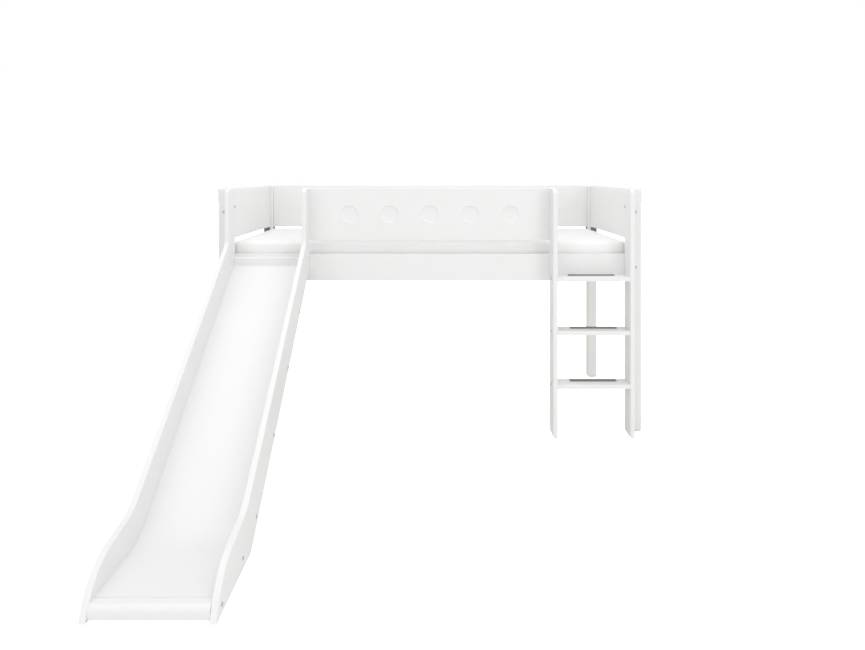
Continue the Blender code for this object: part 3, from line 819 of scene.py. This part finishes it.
# corners of a side board's outline, as (forward, height, radius)
wall_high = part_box("slide_side_inner")[1]
upright_back = front_face - wall_high.y
upright_front = front_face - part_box("ladder_side_inner")[0].y
top_slope = wall_edge(1.0, WALL_RISE, 1) - wall_edge(0.0, WALL_RISE, 1)
under_slope = wall_edge(1.0, WALL_DROP, -1) - wall_edge(0.0, WALL_DROP, -1)
heel = meet((0.0, wall_edge(0.0, WALL_DROP, -1)), under_slope, (0.0, 0.0), 0.0)
shoulder = (SIDE_REACH - TOE_LEAN * TOE_SHOULDER, TOE_SHOULDER)
knee = meet((0.0, wall_edge(0.0, WALL_RISE, 1)), top_slope, shoulder, -TOE_SLOPE)
side_corners = [
    (upright_back, wall_edge(upright_back, WALL_DROP, -1), 0.0),
    (*heel, 0.0),
    (SIDE_REACH, 0.0, 0.0),
    (*shoulder, TOE_ROUND),
    (*knee, KNEE_ROUND),
    (upright_front, wall_edge(upright_front, WALL_RISE, 1), SHOULDER_ROUND),
    (upright_front, guard_high.z, UPRIGHT_ROUND),
    (upright_back, guard_high.z, 0.0),
]
side_corners = [(out_y(forward), height, radius) for forward, height, radius in side_corners]
chute_low, chute_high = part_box("slide_chute")
for place in ("inner", "outer"):
    name = f"slide_side_{place}"
    low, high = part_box(name)
    wall = side_shape(side_corners, low.x, high.x)
    groove = chute_shape(chute_low.x - GROOVE_SLACK, chute_high.x + GROOVE_SLACK, GROOVE_SLACK)
    wall = carve(wall, [groove])
    put_in_place(f"grooved_{name}", wall, LACQUER["Y"], [name])

sheet_finish = Finish("slide_surface", IOR=1.5)
long_scuffs = sheet_finish.noise(sheet_finish.place((1.0, 0.03, 0.03)), 300.0, 4.0, 0.65)
sheet_cloud = sheet_finish.noise(sheet_finish.place(), 4.0, 2.0)
SHEET = sheet_finish.finish_with(
    sheet_finish.blend(sheet_cloud, (0.845, 0.845, 0.845, 1), (0.86, 0.86, 0.858, 1)),
    0.24 + 0.10 * long_scuffs + 0.05 * sheet_cloud,
    long_scuffs,
    0.00002,
)
chute = chute_shape(chute_low.x, chute_high.x, 0.0)
put_in_place("bent_slide_chute", chute, SHEET, ["slide_chute"], sharp=30.0)

for name, rounds in (
    ("slide_top_bar", {"front": 0.008, "back": 0.002}),
    ("slide_nose", {"front": 0.018, "back": 0.00225}),
):
    low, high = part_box(name)
    bar = box_shape(low, high)
    for where, radius in rounds.items():
        edge_y = low.y if where == "front" else high.y
        edges = []
        for edge in bar.edges:
            ends = [vert.co for vert in edge.verts]
            if all(abs(co.y - edge_y) < 1e-5 and abs(co.z - high.z) < 1e-5 for co in ends):
                edges.append(edge)
        round_edges(bar, edges, radius, 10)
    put_in_place(f"rounded_{name}", bar, LACQUER["X"], [name])

BATTEN_COUNT = 5
BATTEN_BOLT_RISE = 0.005
NOSE_BOLT = (1.436, 0.028)  # forward and height
battens = [f"slide_batten_{number + 1}" for number in range(BATTEN_COUNT)]
repaint(LACQUER["X"], *battens)
wall_bolts = []
for name in battens:
    low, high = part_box(name)
    wall_bolts.append(((low.y + high.y) / 2, (low.z + high.z) / 2 + BATTEN_BOLT_RISE))
wall_bolts.append((out_y(NOSE_BOLT[0]), NOSE_BOLT[1]))
facing = [(wall_high.x, y, z) for y, z in wall_bolts]
set_of_bolts("slide_bolts_inner", facing, (1, 0, 0))
facing = [(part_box("slide_side_outer")[0].x, y, z) for y, z in wall_bolts]
set_of_bolts("slide_bolts_outer", facing, (-1, 0, 0))


# Mattress. A foam core in a white knitted cover, sewn as a plain box. The foam fills the cover
# and pushes its large faces out a very little.
MATTRESS_VOXEL = 0.010
MATTRESS_INSET = 0.0015
SWELL_LIMIT = 0.0015
FOAM_PRESSURE = 1.5
SETTLE_FRAMES = 20
SMOOTH_SHARE = 0.5
SMOOTH_PASSES = 6
LOOP_LENGTH = 0.0042

knit_finish = Finish("mattress_cover", IOR=1.45, Sheen_Weight=0.25, Sheen_Roughness=0.5)
loop_turn = 2 * math.pi / LOOP_LENGTH
knit_x, knit_y, knit_z = knit_finish.axes(knit_finish.place((loop_turn,) * 3))
loops = knit_x.sine() * knit_y.cosine() + knit_y.sine() * knit_z.cosine()
loops = (loops + knit_z.sine() * knit_x.cosine()) * 0.33 + 0.5
fluff = knit_finish.noise(knit_finish.place(), 900.0, 3.0)
knit_cloud = knit_finish.noise(knit_finish.place(), 6.0, 3.0)
knit_tone = loops * 0.5 + fluff * 0.3 + knit_cloud * 0.2
KNIT = knit_finish.finish_with(
    knit_finish.blend(knit_tone, (0.89, 0.89, 0.885, 1), (0.93, 0.93, 0.925, 1)),
    0.86 + 0.1 * fluff,
    loops * 0.7 + fluff * 0.3,
    0.0005,
)

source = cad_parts["mattress"]
cover = bmesh.new()
cover.from_mesh(source.data)
bmesh.ops.remove_doubles(cover, verts=cover.verts, dist=0.0001)
mattress_low, mattress_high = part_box("mattress")
mattress_middle = (mattress_low + mattress_high) / 2
mattress_size = mattress_high - mattress_low
bmesh.ops.translate(cover, verts=cover.verts, vec=-mattress_middle)
shrink = [1 - 2 * MATTRESS_INSET / side for side in mattress_size]
bmesh.ops.scale(cover, verts=cover.verts, vec=shrink)
bmesh.ops.translate(cover, verts=cover.verts, vec=mattress_middle)
cover_mesh = bpy.data.meshes.new("mattress_cover")
cover.to_mesh(cover_mesh)
cover.free()
mattress = bpy.data.objects.new("knitted_mattress", cover_mesh)
scene.collection.objects.link(mattress)


def freeze(piece):
    """Apply a piece's modifiers to its mesh."""
    bpy.context.view_layer.update()
    evaluated = piece.evaluated_get(bpy.context.evaluated_depsgraph_get())
    solid = bpy.data.meshes.new_from_object(evaluated)
    piece.modifiers.clear()
    piece.data = solid


remesh = mattress.modifiers.new("remesh", "REMESH")
remesh.mode = "VOXEL"
remesh.voxel_size = MATTRESS_VOXEL
freeze(mattress)
rest = [vert.co.copy() for vert in mattress.data.vertices]
cloth = mattress.modifiers.new("cloth", "CLOTH")
cloth.settings.use_pressure = True
cloth.settings.uniform_pressure_force = FOAM_PRESSURE
cloth.settings.effector_weights.gravity = 0.0
cloth.point_cache.frame_start = 1
cloth.point_cache.frame_end = SETTLE_FRAMES
for moment in range(1, SETTLE_FRAMES + 1):
    scene.frame_set(moment)
freeze(mattress)
scene.frame_set(1)
for vert, start in zip(mattress.data.vertices, rest):
    move = vert.co - start
    if move.length > SWELL_LIMIT:
        vert.co = start + move.normalized() * SWELL_LIMIT
even = mattress.modifiers.new("even", "SMOOTH")
even.factor = SMOOTH_SHARE
even.iterations = SMOOTH_PASSES
soft = mattress.modifiers.new("soft", "SUBSURF")
soft.levels = 1
soft.render_levels = 1
freeze(mattress)
mattress.data.materials.clear()
mattress.data.materials.append(KNIT)
mattress.data.shade_smooth()
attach(mattress, "mattress")
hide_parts("mattress")
